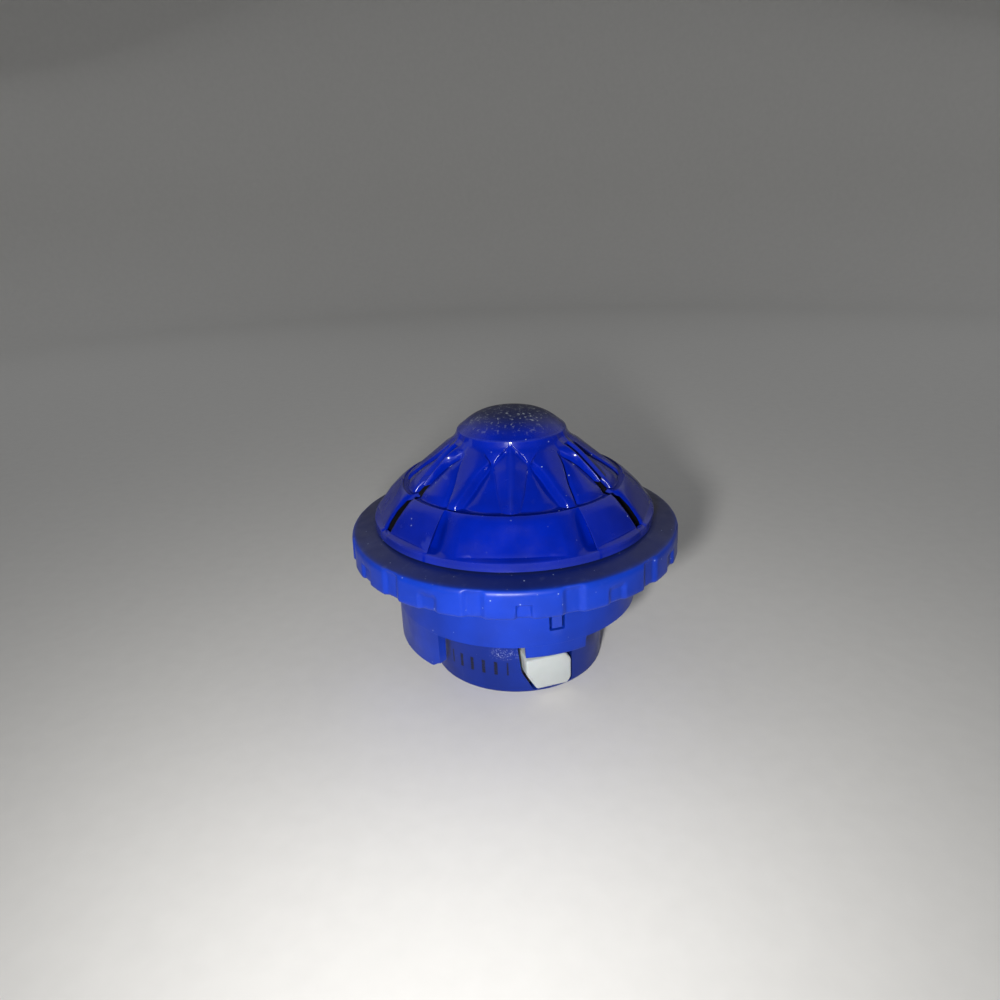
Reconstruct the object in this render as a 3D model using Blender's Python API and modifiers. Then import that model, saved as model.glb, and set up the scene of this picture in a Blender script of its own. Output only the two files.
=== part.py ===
"""Clip-in tip unit of a light-up spinning top, standing on its hub with the tip up.

Metres, +Z up. The origin is the centre of the hub's bottom rim. An azimuth is in degrees about
+Z, from the front (-Y) towards +X, and azimuth 0 is the middle of the front petal. The upper
half repeats every 120 degrees and the hub every 180 degrees.
"""

import math

import bmesh
import bpy
from mathutils import Matrix, Vector

# Division of the circle
TURN_STEPS = 60
SMALL_STEPS = 18
THIRDS = (0, 120, 240)
HALVES = (0, 180)
LED_AZIMUTHS = (60, 180, 300)

# Hub: a tube that plugs into the top's core, below a shoulder and a skirt
HUB_RADIUS = 0.0091
HUB_BORE = 0.0077
SHOULDER_Z = 0.00746
SHOULDER_TOP = 0.0087
SKIRT_RADIUS = 0.0125
SKIRT_BORE = 0.0112
SKIRT_TOP = 0.0139
DROP_RADIUS = 0.01256  # apron and hook tabs stand a little proud of the skirt
APRON_AZIMUTH = 18.5
APRON_HALF_WIDTH = 14.0
APRON_Z = 0.00625
TAB_AZIMUTH = -60.0
TAB_HALF_WIDTH = 23.5
TAB_Z = 0.0036

# Sprung latch inside the hub
LATCH_AZIMUTH = 20.0
LATCH_FACE = 0.00935
LATCH_TOP = 0.0040
LATCH_RING = (0.0047, 0.0073)
LATCH_SPRING_RADIUS = 0.0061
LATCH_WIRE = 0.0002
DECK_Z = (0.0089, 0.0097)
DECK_RADIUS = 0.0109
DECK_SCREW_RADIUS = 0.0094
DECK_SCREW_AZIMUTHS = (85, 145, 265)

# Twist lock between hub and tip: three lugs behind the rim's ledge
LOCK_TURN = 15.0
LUG_RADIUS = 0.0133
LUG_Z = (0.01345, 0.01385)
LUG_HALF_WIDTH = 6.0
LOCK_BORE = 0.0128
LOCK_GROOVE = 0.0136
LEDGE_TOP = 0.0132
MARK_HALF_WIDTH = 0.00075

# Rim
RIM_MARK_AZIMUTH = APRON_AZIMUTH - LOCK_TURN
RIM_RADIUS = 0.0167
RIM_LOW = 0.01275
RIM_PLATE = (0.0120, 0.0149)
NOTCH_PITCH = 15
NOTCH_RADIUS = 0.0024
NOTCH_DEPTH = 0.00035

# Panel ring
BASE_RADIUS = 0.0142
BASE_Z = 0.01605
PANEL_TOP = 0.0199
CENTRE_PANEL = 20.5
STEP_AZIMUTH = 32.0
BOSS = (0.0082, 0.0116)
BOSS_Z = (0.0150, 0.0176)
TRAY_SCREW_RADIUS = 0.0102

# Petal dome: the ribs' crests follow one straight line from the cap down to the crease
CREST_TOP = (0.0058, 0.0242)
CREST_FOOT = (0.0110, 0.0201)
DOME_LEVELS = 7
SLOT_HALF_WIDTH = 0.00045
SLOT_FLOOR = 0.0170
SLOT_MOUTH = [(-0.0008, 0.0198), (0.0008, 0.0198), (0.0005, 0.0208), (-0.0005, 0.0208)]
ROOF_Z = (0.0229, 0.02395)
DOME_FOOT_Z = 0.02005
SPIGOT = (0.0089, 0.00975)
SPIGOT_Z = 0.0188

# Cap
CAP_RADIUS = 0.00565
CAP_Z = 0.0244
CAP_TOP = 0.0270
CAP_FLOOR = 0.0241

# Light module
TRAY_RADIUS = 0.0092
TRAY_BORE = 0.00875
TRAY_Z = (0.01015, 0.01075)
FLANGE_RADIUS = 0.0125
FLANGE_Z = (0.01415, 0.01475)
CELL_RADIUS = 0.00395
CELL_PITCH = 0.00465
CELL_Z = (0.01115, 0.01475)
CONTACT_RADIUS = 0.0054
CONTACT_THICKNESS = 0.00015
BOARD_RADIUS = 0.0076
BOARD_Z = (0.0157, 0.0163)
PART_Z = 0.0164  # undersides of what stands on the board
LED_PITCH = 0.0054
GUIDE_Z = (0.0190, 0.0203)

FINISHES = {
    "deep_blue": ((0.012, 0.065, 0.42, 1), 0.28, 0.0),
    "dark_blue": ((0.010, 0.035, 0.22, 1), 0.45, 0.0),
    "satin_blue": ((0.035, 0.12, 0.60, 1), 0.42, 0.0),
    "white": ((0.80, 0.82, 0.80, 1), 0.40, 0.0),
    "black": ((0.03, 0.03, 0.035, 1), 0.50, 0.0),
    "board_green": ((0.02, 0.16, 0.07, 1), 0.45, 0.0),
    "steel": ((0.62, 0.63, 0.65, 1), 0.28, 1.0),
    "brass": ((0.72, 0.52, 0.22, 1), 0.30, 1.0),
    "clear": ((0.75, 0.82, 0.90, 1), 0.10, 0.0),
}


def clear_scene():
    for item in list(bpy.data.objects):
        bpy.data.objects.remove(item, do_unlink=True)


def new_collection(name):
    collection = bpy.data.collections.new(name)
    bpy.context.scene.collection.children.link(collection)
    return collection


def material(name):
    found = bpy.data.materials.get(name)
    if found:
        return found
    colour, roughness, metallic = FINISHES[name]
    made = bpy.data.materials.new(name)
    made.use_nodes = True
    shader = made.node_tree.nodes["Principled BSDF"]
    shader.inputs["Base Color"].default_value = colour
    shader.inputs["Roughness"].default_value = roughness
    shader.inputs["Metallic"].default_value = metallic
    made.diffuse_color = colour
    return made


def polar(radius, azimuth, height):
    angle = math.radians(azimuth)
    return Vector((radius * math.sin(angle), -radius * math.cos(angle), height))


def turned_about_z(azimuth):
    return Matrix.Rotation(math.radians(azimuth), 4, "Z")


def blend(table, x):
    """Straight-line interpolation in a short table of (x, value) pairs, rising in x."""
    if x <= table[0][0]:
        return table[0][1]
    for (x0, y0), (x1, y1) in zip(table, table[1:]):
        if x <= x1:
            return y0 + (y1 - y0) * (x - x0) / (x1 - x0)
    return table[-1][1]


# Meshes


def mesh_from(bm, name):
    bmesh.ops.recalc_face_normals(bm, faces=bm.faces)
    mesh = bpy.data.meshes.new(name)
    bm.to_mesh(mesh)
    bm.free()
    return mesh


def sector_mesh(radii, heights, middle, half_width, steps=6):
    """A block bent about Z, between two radii, two heights and two azimuths."""
    bm = bmesh.new()
    corners = [(0, 0), (1, 0), (1, 1), (0, 1)]
    start = middle - half_width
    loop = [bm.verts.new(polar(radii[i], start, heights[j])) for i, j in corners]
    face = bm.faces.new(loop)
    bmesh.ops.spin(
        bm,
        geom=[face, *face.edges, *face.verts],
        axis=(0, 0, 1),
        cent=(0, 0, 0),
        angle=math.radians(2 * half_width),
        steps=steps,
    )
    return mesh_from(bm, "sector")


def prism_mesh(outline, near, far, azimuth):
    """An outline of (x, z) points, extruded outwards between two distances from the axis."""
    bm = bmesh.new()
    face = bm.faces.new([bm.verts.new((x, -near, z)) for x, z in outline])
    pushed = bmesh.ops.extrude_face_region(bm, geom=[face])["geom"]
    moved = [item for item in pushed if isinstance(item, bmesh.types.BMVert)]
    bmesh.ops.translate(bm, verts=moved, vec=(0, near - far, 0))
    bm.transform(turned_about_z(azimuth))
    return mesh_from(bm, "prism")


def cylinder_mesh(radius, low, high, centre, steps=SMALL_STEPS):
    bm = bmesh.new()
    place = Matrix.Translation((centre.x, centre.y, (low + high) / 2))
    bmesh.ops.create_cone(
        bm,
        cap_ends=True,
        segments=steps,
        radius1=radius,
        radius2=radius,
        depth=high - low,
        matrix=place,
    )
    return mesh_from(bm, "cylinder")


def box_mesh(low, high):
    bm = bmesh.new()
    size = Vector(high) - Vector(low)
    middle = (Vector(high) + Vector(low)) / 2
    place = Matrix.Translation(middle) @ Matrix.Diagonal((*size, 1))
    bmesh.ops.create_cube(bm, size=1, matrix=place)
    return mesh_from(bm, "box")


def lofted_mesh(sections):
    """A ring through closed sections that all have the same number of points."""
    bm = bmesh.new()
    rows = [[bm.verts.new(point) for point in section] for section in sections]
    for row, following in zip(rows, rows[1:] + rows[:1]):
        for i in range(len(row)):
            j = (i + 1) % len(row)
            bm.faces.new((row[i], row[j], following[j], following[i]))
    return mesh_from(bm, "loft")


def gathered(meshes):
    bm = bmesh.new()
    for mesh in meshes:
        bm.from_mesh(mesh)
    return mesh_from(bm, "gathered")


# Objects


def add(name, mesh, finish):
    item = bpy.data.objects.new(name, mesh)
    PARTS.objects.link(item)
    mesh.materials.append(material(finish))
    mesh.shade_smooth()
    mesh.set_sharp_from_angle(angle=math.radians(35))
    return item


def turned(name, finish, profile, closed=False, steps=TURN_STEPS):
    """A profile of (radius, height) points, turned about Z. It runs down its outer side."""
    count = len(profile)
    edges = [(i, i + 1) for i in range(count - 1)]
    if closed:
        edges.append((count - 1, 0))
    mesh = bpy.data.meshes.new(name)
    mesh.from_pydata([(r, 0, z) for r, z in profile], edges, [])
    item = add(name, mesh, finish)
    screw = item.modifiers.new("Turn", "SCREW")
    screw.axis = "Z"
    screw.steps = steps
    screw.render_steps = steps
    screw.use_merge_vertices = True
    screw.merge_threshold = 0.000001
    return item


def combine(item, operation, meshes):
    """Cut or join one object with plain solids, kept in the cutters collection."""
    tool = bpy.data.objects.new(f"{item.name}_{operation.lower()}", gathered(meshes))
    CUTTERS.objects.link(tool)
    tool.hide_render = True
    tool.display_type = "WIRE"
    modifier = item.modifiers.new(operation.title(), "BOOLEAN")
    modifier.operation = operation
    modifier.solver = "EXACT"
    modifier.object = tool


def cut(item, *meshes):
    combine(item, "DIFFERENCE", meshes)


def join(item, *meshes):
    combine(item, "UNION", meshes)


def screw_piece(name, place, head, shank, head_z, tip_z):
    """A screw along Z with its origin on its own axis. head_z is (outer face, inner face)."""
    outer, inner = head_z
    up = 1 if outer > tip_z else -1
    profile = [
        (0, outer),
        (head, outer),
        (head, inner),
        (shank, inner),
        (shank, tip_z + up * shank),
        (0, tip_z),
    ]
    if up < 0:
        profile.reverse()
    item = turned(name, "steel", profile, steps=12)
    item.location = (place.x, place.y, 0)
    return item


def coil(name, radius, wire, length, turns, place):
    """A compression spring along Z from its own origin, with flat-lying end turns."""
    per_turn = 12
    count = turns * per_turn
    curve = bpy.data.curves.new(name, "CURVE")
    curve.dimensions = "3D"
    curve.bevel_depth = wire
    curve.bevel_resolution = 1
    curve.use_fill_caps = True
    spline = curve.splines.new("POLY")
    spline.points.add(count)
    for i, point in enumerate(spline.points):
        share = min(max((i / per_turn - 0.5) / (turns - 1), 0), 1)
        at = polar(radius, 360 * i / per_turn, wire + share * (length - 2 * wire))
        point.co = (*at, 1)
    curve.materials.append(material("steel"))
    item = bpy.data.objects.new(name, curve)
    item.matrix_world = place
    PARTS.objects.link(item)
    return item


# Hub


def latch_outline(grow=0.0):
    """Front view of one latch lug: a tooth with a slanted side, rounded at its upper corner."""
    return [
        (-0.00233 - grow, LATCH_TOP),
        (0.0018, LATCH_TOP),
        (0.0025 + grow, 0.0032),
        (0.0025 + grow, 0.0005 - grow),
        (-0.00145 - grow, 0.0005 - grow),
        (-0.00239 - grow, 0.0025),
    ]


def window_outline():
    slanted = [(-0.0026, 0.0025), (-0.0016, 0.0003)]
    return [(-0.0037, 0.0090), *slanted, (0.00275, 0.0003), (0.00275, 0.0090)]


def mark_outline(low, high, width, wall):
    """A U-shaped groove, open at the top."""
    inner = width - wall
    left = [(-width, high), (-width, low), (width, low), (width, high)]
    return left + [(inner, high), (inner, low + wall), (-inner, low + wall), (-inner, high)]


def hub_body():
    profile = [
        (SKIRT_BORE, SKIRT_TOP),
        (0.0124, SKIRT_TOP),
        (SKIRT_RADIUS, 0.0076),
        (0.01236, SHOULDER_Z),
        (HUB_RADIUS + 0.00005, SHOULDER_Z),
        (HUB_RADIUS - 0.0001, 0.00015),
        (HUB_RADIUS - 0.00025, 0),
        (HUB_BORE, 0),
        (HUB_BORE, SHOULDER_TOP),
        (SKIRT_BORE, SHOULDER_TOP),
    ]
    body = turned("hub_body", "satin_blue", profile, closed=True)
    drop = (0.0114, DROP_RADIUS)
    join(
        body,
        *[sector_mesh(drop, (APRON_Z, 0.0086), APRON_AZIMUTH + a, APRON_HALF_WIDTH) for a in HALVES],
        *[sector_mesh(drop, (TAB_Z, 0.0085), TAB_AZIMUTH + a, TAB_HALF_WIDTH) for a in HALVES],
        *[sector_mesh((0.0118, LUG_RADIUS), LUG_Z, a, LUG_HALF_WIDTH, 3) for a in LED_AZIMUTHS],
    )
    groove = mark_outline(0.0089, 0.0120, MARK_HALF_WIDTH, 0.00026)
    cut(
        body,
        *[prism_mesh(window_outline(), 0.0068, 0.0100, LATCH_AZIMUTH + a) for a in HALVES],
        *[prism_mesh(groove, 0.0119, 0.0130, APRON_AZIMUTH + a) for a in HALVES],
        *[deck_hole(a, 0.0080, 0.0090) for a in DECK_SCREW_AZIMUTHS],
    )


def deck_hole(azimuth, low, high):
    return cylinder_mesh(0.00055, low, high, polar(DECK_SCREW_RADIUS, azimuth, 0), 12)


def hub_deck():
    low, high = DECK_Z
    profile = [
        (0, high),
        (DECK_RADIUS, high),
        (DECK_RADIUS, low),
        (0.0055, low),
        (0.0055, 0.0082),
        (0.0049, 0.0082),
        (0.0049, low),
        (0, low),
    ]
    deck = turned("hub_deck", "black", profile, steps=48)
    cut(deck, *[deck_hole(a, low - 0.0002, high + 0.0002) for a in DECK_SCREW_AZIMUTHS])
    for number, azimuth in enumerate(DECK_SCREW_AZIMUTHS, 1):
        place = polar(DECK_SCREW_RADIUS, azimuth, 0)
        screw_piece(f"deck_screw_{number}", place, 0.0008, 0.00045, (0.0101, 0.00985), 0.0082)


def latch():
    inner, outer = LATCH_RING
    profile = [(inner, LATCH_TOP), (outer, LATCH_TOP), (outer, 0.0011), (inner, 0.0011)]
    carrier = turned("latch_carrier", "white", profile, closed=True, steps=48)
    teeth = [sector_mesh((0.0049, 0.0071), (0.0005, 0.0014), 110 + a, 9, 3) for a in HALVES]
    lugs = [prism_mesh(latch_outline(), 0.0066, LATCH_FACE, LATCH_AZIMUTH + a) for a in HALVES]
    join(carrier, *teeth, *lugs)
    floor = LATCH_TOP + 0.00012
    length = DECK_Z[0] - floor - 0.00012
    place = Matrix.Translation((0, 0, floor))
    coil("latch_spring", LATCH_SPRING_RADIUS, LATCH_WIRE, length, 5, place)


# Rim and panels


def rim_ring():
    plate_bore, plate_low = RIM_PLATE
    profile = [
        (plate_bore, 0.0157),
        (0.0144, 0.01595),
        (RIM_RADIUS - 0.0004, 0.01563),
        (RIM_RADIUS - 0.00016, 0.0154),
        (RIM_RADIUS, 0.0130),
        (RIM_RADIUS - 0.0002, RIM_LOW),
        (0.0156, RIM_LOW),
        (0.0155, 0.0146),
        (0.0143, 0.0146),
        (0.0142, RIM_LOW),
        (LOCK_BORE, RIM_LOW),
        (LOCK_BORE, LEDGE_TOP),
        (LOCK_GROOVE, LEDGE_TOP),
        (LOCK_GROOVE, plate_low),
        (plate_bore, plate_low),
    ]
    ring = turned("rim_ring", "satin_blue", profile, closed=True)
    entries = [a - LOCK_TURN for a in LED_AZIMUTHS]
    cut(
        ring,
        *[notch_mesh(azimuth) for azimuth in notch_azimuths()],
        *[sector_mesh((0.0120, LOCK_GROOVE + 0.0001), (0.0125, 0.0134), a, 7.2, 3) for a in entries],
        *[prism_mesh(arch_outline(), 0.01642, 0.0172, RIM_MARK_AZIMUTH + a) for a in THIRDS],
    )


def arch_outline():
    half, low, high = MARK_HALF_WIDTH, RIM_LOW - 0.0002, 0.0142
    return [(-half, low), (half, low), (0.8 * half, high), (-0.8 * half, high)]


def notch_azimuths():
    """One notch at every pitch, left out where a lock mark stands."""
    every = range(0, 360, NOTCH_PITCH)
    return [RIM_MARK_AZIMUTH + a for a in every if a % 120]


def notch_mesh(azimuth):
    distance = RIM_RADIUS - NOTCH_DEPTH + NOTCH_RADIUS
    centre = polar(distance, azimuth, 0)
    return cylinder_mesh(NOTCH_RADIUS, RIM_LOW - 0.0003, 0.0162, centre, 16)


def panel_radius(azimuth, centre_radius, side_radius):
    """Flat centre panel, a slope on each side of it, then a step up to a flat side panel."""
    a = abs((azimuth + 60) % 120 - 60)
    if a <= CENTRE_PANEL:
        return centre_radius / math.cos(math.radians(a))
    if a <= STEP_AZIMUTH:
        edge = centre_radius / math.cos(math.radians(CENTRE_PANEL))
        share = (a - CENTRE_PANEL) / (STEP_AZIMUTH - CENTRE_PANEL)
        return edge + share * (0.975 * side_radius - edge)
    return side_radius / math.cos(math.radians(a - 44))


def panel_section(azimuth):
    levels = [
        (0.0108, 0.0111, PANEL_TOP),
        (0.0113, 0.0116, 0.0196),
        (0.0126, 0.0129, 0.0183),
        (0.01335, 0.0136, 0.0172),
    ]
    outer = [(panel_radius(azimuth, c, s), z) for c, s, z in levels]
    outer = [(min(r, BASE_RADIUS - 0.00005), z) for r, z in outer]
    base = [(BASE_RADIUS - 0.0002, 0.0169), (BASE_RADIUS, 0.0166), (BASE_RADIUS, BASE_Z)]
    bore = [(0.0114, BASE_Z), (0.0114, 0.0172), (0.00995, 0.0190), (0.00995, PANEL_TOP)]
    return [polar(r, azimuth, z) for r, z in outer + base + bore]


def panel_ring():
    half = [0, 7, 14, CENTRE_PANEL, 26, STEP_AZIMUTH, STEP_AZIMUTH + 0.8, 38, 44, 50, 56, 60]
    sector = sorted({a for a in half} | {-a for a in half[:-1]})
    azimuths = [a + third for third in THIRDS for a in sector]
    ring = add("panel_ring", lofted_mesh([panel_section(a) for a in azimuths]), "deep_blue")
    join(ring, *[boss_mesh(a) for a in THIRDS])
    cut(
        ring,
        *[slot_mesh(a, SLOT_FLOOR, 0.0210) for a in LED_AZIMUTHS],
        *[cylinder_mesh(0.0006, 0.0148, 0.0172, polar(TRAY_SCREW_RADIUS, a, 0), 12) for a in THIRDS],
    )


def boss_mesh(azimuth):
    low, high = BOSS_Z
    outline = [(-0.0013, low), (0.0013, low), (0.0013, high), (-0.0013, high)]
    return prism_mesh(outline, *BOSS, azimuth)


def slot_mesh(azimuth, low, high):
    half = SLOT_HALF_WIDTH
    outline = [(-half, low), (half, low), (half, high), (-half, high)]
    return prism_mesh(outline, 0.0064, 0.0150, azimuth)


# Dome and cap

RIB_INNER = [(0.0058, 13), (0.0065, 17), (0.0076, 21.5), (0.0091, 25.5), (0.0110, 29)]
RIB_OUTER = [(0.0058, 44), (0.0065, 42), (0.0076, 39), (0.0091, 35), (0.0110, 30.5)]
FIN_INNER = [(0.0058, 47), (0.0065, 50), (0.0076, 54), (0.0091, 56.4), (0.0110, 57.2)]
PETAL_RISE = [
    (0.0058, -0.00055),
    (0.0070, -0.00032),
    (0.0080, -0.00005),
    (0.0091, 0.00008),
    (0.0101, -0.0001),
    (0.0110, -0.0003),
]


def dome_columns(radius):
    """(azimuth, rise above the ribs' crest line) across half a sector, at one crest radius."""
    inner, outer = blend(RIB_INNER, radius), blend(RIB_OUTER, radius)
    fin, petal = blend(FIN_INNER, radius), blend(PETAL_RISE, radius)
    fin_rise = 0.0 if radius < 0.0099 else petal
    return [
        (0, petal),
        (0.6 * inner, petal - 0.0002),
        (inner - 1.2, petal - 0.0006),
        (inner, 0.00005),
        ((inner + outer) / 2, 0.00005),
        (outer, 0.0),
        (outer + 0.7, petal - 0.0004),
        ((outer + fin) / 2, petal),
        (fin - 0.7, petal - 0.0004),
        (fin, fin_rise),
        (60, fin_rise),
    ]


def crest_point(share, rise):
    """A point on the crest line, lifted along the line's outward normal."""
    top, foot = Vector(CREST_TOP), Vector(CREST_FOOT)
    along = (foot - top).normalized()
    normal = Vector((-along.y, along.x))
    return top.lerp(foot, share) + rise * normal


def dome_section(column, side):
    """The closed section of the dome at one column, on side +1 or -1 of the petal's middle."""
    points = []
    for level in range(DOME_LEVELS + 1):
        share = level / DOME_LEVELS
        azimuth, rise = dome_columns(crest_point(share, 0).x)[column]
        r, z = crest_point(share, rise)
        points.append(polar(r, side * azimuth, max(z, DOME_FOOT_Z + 0.00005)))
    foot = side * dome_columns(CREST_FOOT[0])[column][0]
    head = side * dome_columns(CREST_TOP[0])[column][0]
    lower = [
        (SPIGOT[1], DOME_FOOT_Z),
        (SPIGOT[1], SPIGOT_Z),
        (SPIGOT[0], SPIGOT_Z),
        (SPIGOT[0], 0.0202),
        (0.0078, 0.0214),
    ]
    roof = [(0.0052, ROOF_Z[0]), (0.00095, ROOF_Z[0]), (0.00095, ROOF_Z[1]), (0.0052, ROOF_Z[1])]
    points += [polar(r, foot, z) for r, z in lower]
    points += [polar(r, head, z) for r, z in roof]
    return points


def petal_dome():
    last = len(dome_columns(CREST_TOP[0])) - 1
    order = [(c, -1) for c in range(last - 1, 0, -1)] + [(c, 1) for c in range(last + 1)]
    sector = [dome_section(column, side) for column, side in order]
    sections = []
    for third in THIRDS:
        turn = turned_about_z(third)
        sections += [[turn @ point for point in section] for section in sector]
    dome = add("petal_dome", lofted_mesh(sections), "deep_blue")
    cut(dome, *[slot_mesh(a, 0.0180, 0.0260) for a in LED_AZIMUTHS])
    cut(dome, *[prism_mesh(SLOT_MOUTH, 0.0064, 0.0150, a) for a in LED_AZIMUTHS])


def tip_cap():
    profile = [
        (0, CAP_TOP),
        (0.0019, 0.02685),
        (0.0035, 0.02635),
        (0.0048, 0.02555),
        (0.00545, 0.0249),
        (CAP_RADIUS, CAP_Z),
        (0.0055, CAP_FLOOR + 0.00005),
        (0.0053, CAP_FLOOR),
        (0.0007, CAP_FLOOR),
        (0.0007, 0.0260),
        (0, 0.0260),
    ]
    turned("tip_cap", "dark_blue", profile, steps=48)
    head = (0.0221, ROOF_Z[0] - 0.00015)
    screw_piece("cap_screw", Vector((0, 0, 0)), 0.0015, 0.0006, head, 0.0256)


# Light module


def battery_tray():
    floor_low, floor_top = TRAY_Z
    flange_low, flange_top = FLANGE_Z
    profile = [
        (0, floor_top),
        (TRAY_BORE, floor_top),
        (TRAY_BORE, flange_top),
        (FLANGE_RADIUS, flange_top),
        (FLANGE_RADIUS, flange_low),
        (TRAY_RADIUS, flange_low),
        (TRAY_RADIUS, floor_low),
        (0, floor_low),
    ]
    tray = turned("battery_tray", "black", profile, steps=48)
    posts = [polar(0.0066, a, 0) for a in THIRDS]
    join(tray, *[cylinder_mesh(0.0009, 0.0104, 0.0140, post, 10) for post in posts])
    holes = [polar(TRAY_SCREW_RADIUS, a, 0) for a in THIRDS]
    cut(tray, *[cylinder_mesh(0.0006, 0.0140, 0.0150, hole, 12) for hole in holes])
    for number, place in enumerate(holes, 1):
        screw_piece(f"tray_screw_{number}", place, 0.0008, 0.0005, (0.01345, 0.0140), 0.0168)


def cells_and_contacts():
    low, high = CELL_Z
    profile = [
        (0, high),
        (CELL_RADIUS, high),
        (CELL_RADIUS, low + 0.0006),
        (0.0034, low + 0.0006),
        (0.0033, low),
        (0, low),
    ]
    for number, azimuth in enumerate(LED_AZIMUTHS, 1):
        cell = turned(f"button_cell_{number}", "steel", profile, steps=24)
        cell.location = polar(CELL_PITCH, azimuth, 0)
    for name, top in (("lower_contact", low - 0.00012), ("upper_contact", high + 0.0003)):
        disc = [(CONTACT_RADIUS, top), (CONTACT_RADIUS, top - CONTACT_THICKNESS)]
        edge = [(0.0012, top - CONTACT_THICKNESS), (0.0012, top)]
        turned(name, "brass", disc + edge, closed=True, steps=24)


def light_board():
    low, high = BOARD_Z
    disc = [(0, high), (BOARD_RADIUS, high), (BOARD_RADIUS, low), (0, low)]
    turned("light_board", "board_green", disc, steps=36)
    chip = box_mesh((-0.0015, -0.0060, PART_Z), (0.0015, -0.0036, PART_Z + 0.0009))
    add("control_chip", chip, "black")
    led = [
        (0, PART_Z + 0.0022),
        (0.0007, PART_Z + 0.0020),
        (0.0010, PART_Z + 0.0015),
        (0.0010, PART_Z + 0.0005),
        (0.00125, PART_Z + 0.0005),
        (0.00125, PART_Z),
        (0, PART_Z),
    ]
    for number, azimuth in enumerate(LED_AZIMUTHS, 1):
        lamp = turned(f"led_{number}", "clear", led, steps=14)
        lamp.location = polar(LED_PITCH, azimuth, 0)


def light_guide():
    low, high = GUIDE_Z
    profile = [(0, high), (0.0030, high), (0.0074, high - 0.0006), (0.0074, low), (0, low)]
    guide = turned("light_guide", "clear", profile, steps=36)
    legs = [polar(0.0067, a, 0) for a in THIRDS]
    join(guide, *[cylinder_mesh(0.0005, PART_Z, low + 0.0004, leg, 10) for leg in legs])


def motion_switch():
    """A spring and a weight that flies outwards along +X when the top spins."""
    low = PART_Z
    housing = add("switch_housing", box_mesh((-0.0007, -0.00125, low), (0.0062, 0.00125, 0.0185)), "white")
    cut(housing, box_mesh((-0.0002, -0.00095, low + 0.0004), (0.0057, 0.00095, 0.0190)))
    axis_z = low + 0.0013
    bm = bmesh.new()
    across = Matrix.Rotation(math.radians(90), 4, "Y")
    ends = {"radius1": 0.00078, "radius2": 0.00078, "depth": 0.0018}
    bmesh.ops.create_cone(bm, cap_ends=True, segments=16, matrix=across, **ends)
    weight = add("switch_weight", mesh_from(bm, "switch_weight"), "brass")
    weight.location = (0.0009, 0, axis_z)
    start = 0.0019
    place = Matrix.Translation((start, 0, axis_z)) @ across
    coil("switch_spring", 0.00055, 0.00008, 0.0056 - start, 6, place)


clear_scene()
PARTS = new_collection("light_up_spinning_top")
CUTTERS = new_collection("cutters")
hub_body()
hub_deck()
latch()
rim_ring()
panel_ring()
petal_dome()
tip_cap()
battery_tray()
cells_and_contacts()
light_board()
light_guide()
motion_switch()
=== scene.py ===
"""Looks of the light-up spinning top's tip unit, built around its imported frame.

Shapes are worked out in millimetres and scaled to metres when a mesh is made. An azimuth is in
degrees about +Z, from the front (-Y) towards +X. The upper half repeats every 120 degrees about
the front petal, and the hub every 180 degrees.
"""

import math

import bmesh
import bpy
import numpy as np
from mathutils import Matrix, Vector


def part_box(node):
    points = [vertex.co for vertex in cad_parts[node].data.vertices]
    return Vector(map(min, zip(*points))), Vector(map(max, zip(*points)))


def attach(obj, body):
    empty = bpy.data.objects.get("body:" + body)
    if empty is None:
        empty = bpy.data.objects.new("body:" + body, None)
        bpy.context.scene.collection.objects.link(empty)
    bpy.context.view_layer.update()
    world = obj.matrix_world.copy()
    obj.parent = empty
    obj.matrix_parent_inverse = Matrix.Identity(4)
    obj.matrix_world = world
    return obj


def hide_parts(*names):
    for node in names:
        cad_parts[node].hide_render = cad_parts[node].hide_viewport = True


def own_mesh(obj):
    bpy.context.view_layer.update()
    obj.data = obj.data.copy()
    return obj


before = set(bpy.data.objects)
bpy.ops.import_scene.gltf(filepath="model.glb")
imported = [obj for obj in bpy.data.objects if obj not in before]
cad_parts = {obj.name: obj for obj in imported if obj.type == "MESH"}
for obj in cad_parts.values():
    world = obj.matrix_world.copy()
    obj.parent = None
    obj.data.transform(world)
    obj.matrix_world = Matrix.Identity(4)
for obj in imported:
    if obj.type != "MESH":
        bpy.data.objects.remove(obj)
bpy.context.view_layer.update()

MM = 0.001
THIRDS = (0, 120, 240)
HALVES = (0, 180)

# Driving sizes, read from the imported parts, in millimetres


def edge(node, side, axis):
    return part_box(node)[side][axis] / MM


RIM_RADIUS = edge("rim_ring", 1, 0)
RIM_LOW = edge("rim_ring", 0, 2)
RIM_TOP = edge("rim_ring", 1, 2)
CAP_TOP = edge("tip_cap", 1, 2)
SKIRT_TOP = edge("hub_body", 1, 2)
LATCH_TOP = edge("latch_carrier", 1, 2)
LATCH_LOW = edge("latch_carrier", 0, 2)

# Sizes that the looks add, in millimetres and degrees

CREST_TOP = (5.8, 24.2)
CREST_SLOPE = 4.1 / 5.2
SLOT_HALF = 0.42
PANEL_SLOT_HALF = 0.60
SHOULDER_Z = 7.46
SKIRT_RADIUS = 12.5
APRON = (18.5, 14.0, 6.25)  # middle azimuth, half width, lowest height
TAB = (-60.0, 23.5, 3.6)
LATCH_AZIMUTH = 20.0
MARK_AZIMUTH = 3.5
NOTCH_PITCH = 15
LOCK_LUGS = (60, 180, 300)
LOCK_TURN = 15


# Small mathematics


def polar(radius, azimuth, height):
    """Points from distances off the axis, azimuths and heights."""
    angle = np.radians(azimuth)
    return np.stack(np.broadcast_arrays(radius * np.sin(angle), -radius * np.cos(angle), height), -1)


def smooth(x, low, high):
    """0 below low, 1 above high, with an eased change between them."""
    t = np.clip((np.asarray(x, float) - low) / (high - low), 0, 1)
    return t * t * (3 - 2 * t)


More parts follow.
